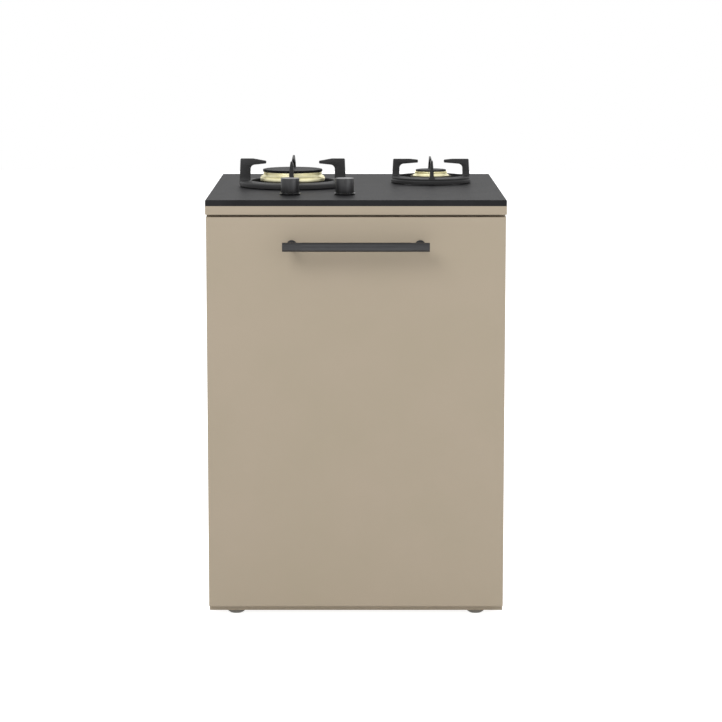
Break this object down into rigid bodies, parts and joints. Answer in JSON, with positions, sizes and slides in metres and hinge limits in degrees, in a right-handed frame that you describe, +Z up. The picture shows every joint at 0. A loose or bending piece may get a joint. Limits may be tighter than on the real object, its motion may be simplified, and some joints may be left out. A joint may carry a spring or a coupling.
{
  "type": "outdoor kitchen hob module",
  "caption": "Outdoor kitchen cabinet with a gas bottle pull-out behind a tall front, a slab worktop, and a wok burner and a small burner with cast pan supports and knobs in the worktop.",
  "frame": {"origin": "centre of the object's footprint on the floor, handle included", "axes": "+Z up, +Y from the front to the back, +X to the right of someone who faces the front"},
  "size_m": [0.6, 0.7472, 0.9088],
  "materials": {
    "worktop_black": "matte black slab",
    "cabinet_paint": "matte beige powder coat",
    "zinc_steel": "zinc plated",
    "stainless_steel": "brushed stainless steel",
    "gunmetal": "satin gunmetal plating",
    "anthracite": "satin anthracite anodised",
    "brass": "turned brass",
    "tap_brass": "cast and machined brass",
    "black_enamel": "black enamel",
    "burner_casting": "black coated casting",
    "cast_iron": "matte black enamelled cast iron",
    "black_rubber": "matte black rubber",
    "white_ceramic": "white glaze",
    "pipe_aluminium": "plain drawn tube",
    "black_plastic": "matte black moulding"
  },
  "bodies": {
    "cabinet": {"worktop": "worktop_black", "top_frame": "cabinet_paint", "side_panel_left": "cabinet_paint", "side_panel_right": "cabinet_paint", "back_panel": "cabinet_paint", "bottom_panel": "cabinet_paint", "front_cross_rail": "cabinet_paint", "foot_sleeves": "zinc_steel", "burner_bodies": "burner_casting", "burner_retainers": "zinc_steel", "spark_electrodes": "white_ceramic", "tap_bezels": "anthracite", "tap_bodies": "tap_brass", "gas_rail": "zinc_steel", "gas_inlet": "tap_brass", "ignition_box": "black_plastic", "wok_gas_pipe": "pipe_aluminium", "small_gas_pipe": "pipe_aluminium", "runner_cabinet_member_left": "zinc_steel", "runner_cabinet_member_right": "zinc_steel"},
    "pull_out": {"front_panel": "cabinet_paint", "front_liner": "cabinet_paint", "front_buffers": "black_rubber", "handle_bar": "gunmetal", "handle_posts": "gunmetal", "tray": "cabinet_paint", "tray_gussets": "cabinet_paint", "bottle_strap": "stainless_steel", "bottle_mat": "black_rubber", "runner_drawer_member_left": "zinc_steel", "runner_drawer_member_right": "zinc_steel"},
    "runner_middle_left": {"runner_middle_member_left": "zinc_steel"},
    "runner_middle_right": {"runner_middle_member_right": "zinc_steel"},
    "foot_front_left": {"foot_front_left": "stainless_steel"},
    "foot_front_right": {"foot_front_right": "stainless_steel"},
    "foot_rear_left": {"foot_rear_left": "stainless_steel"},
    "foot_rear_right": {"foot_rear_right": "stainless_steel"},
    "wok_crown": {"wok_crown": "brass"},
    "wok_cap": {"wok_cap": "black_enamel"},
    "wok_pan_support": {"wok_pan_support": "cast_iron", "wok_support_pads": "black_rubber"},
    "wok_tap_plunger": {"wok_tap_plunger": "tap_brass"},
    "wok_knob": {"wok_knob": "anthracite", "wok_spindle": "stainless_steel"},
    "small_crown": {"small_crown": "brass"},
    "small_cap": {"small_cap": "black_enamel"},
    "small_pan_support": {"small_pan_support": "cast_iron", "small_support_pads": "black_rubber"},
    "small_tap_plunger": {"small_tap_plunger": "tap_brass"},
    "small_knob": {"small_knob": "anthracite", "small_spindle": "stainless_steel"}
  },
  "joints": [
    {"name": "pull_out_slide", "type": "slide", "parent": "cabinet", "child": "pull_out", "axis": [0, -1, 0], "range_m": [0, 0.5]},
    {"name": "runner_middle_left_slide", "type": "slide", "parent": "cabinet", "child": "runner_middle_left", "axis": [0, -1, 0], "range_m": [0, 0.25]},
    {"name": "runner_middle_right_slide", "type": "slide", "parent": "cabinet", "child": "runner_middle_right", "axis": [0, -1, 0], "range_m": [0, 0.25]},
    {"name": "foot_front_left_level", "type": "slide", "parent": "cabinet", "child": "foot_front_left", "axis": [0, 0, 1], "range_m": [-0.015, 0]},
    {"name": "foot_front_right_level", "type": "slide", "parent": "cabinet", "child": "foot_front_right", "axis": [0, 0, 1], "range_m": [-0.015, 0]},
    {"name": "foot_rear_left_level", "type": "slide", "parent": "cabinet", "child": "foot_rear_left", "axis": [0, 0, 1], "range_m": [-0.015, 0]},
    {"name": "foot_rear_right_level", "type": "slide", "parent": "cabinet", "child": "foot_rear_right", "axis": [0, 0, 1], "range_m": [-0.015, 0]},
    {"name": "wok_crown_lift", "type": "slide", "parent": "cabinet", "child": "wok_crown", "axis": [0, 0, 1], "range_m": [0, 0.005]},
    {"name": "wok_cap_lift", "type": "slide", "parent": "wok_crown", "child": "wok_cap", "axis": [0, 0, 1], "range_m": [0, 0.0055]},
    {"name": "wok_pan_support_lift", "type": "slide", "parent": "cabinet", "child": "wok_pan_support", "axis": [0, 0, 1], "range_m": [0, 0.08]},
    {"name": "wok_knob_push", "type": "slide", "parent": "cabinet", "child": "wok_tap_plunger", "axis": [0, 0, 1], "range_m": [-0.0035, 0], "stiffness_N_per_m": 600, "springref_m": 0.006},
    {"name": "wok_knob_turn", "type": "hinge", "parent": "wok_tap_plunger", "child": "wok_knob", "pos_m": [-0.134, -0.19637, 0.86], "axis": [0, 0, 1], "range_deg": [0, 210]},
    {"name": "small_crown_lift", "type": "slide", "parent": "cabinet", "child": "small_crown", "axis": [0, 0, 1], "range_m": [0, 0.005]},
    {"name": "small_cap_lift", "type": "slide", "parent": "small_crown", "child": "small_cap", "axis": [0, 0, 1], "range_m": [0, 0.0055]},
    {"name": "small_pan_support_lift", "type": "slide", "parent": "cabinet", "child": "small_pan_support", "axis": [0, 0, 1], "range_m": [0, 0.08]},
    {"name": "small_knob_push", "type": "slide", "parent": "cabinet", "child": "small_tap_plunger", "axis": [0, 0, 1], "range_m": [-0.0035, 0], "stiffness_N_per_m": 600, "springref_m": 0.006},
    {"name": "small_knob_turn", "type": "hinge", "parent": "small_tap_plunger", "child": "small_knob", "pos_m": [-0.023, -0.19637, 0.86], "axis": [0, 0, 1], "range_deg": [0, 210]}
  ],
  "couplings": [
    {"joint": "runner_middle_left_slide", "follows": "pull_out_slide", "ratio": 0.5},
    {"joint": "runner_middle_right_slide", "follows": "pull_out_slide", "ratio": 0.5}
  ]
}
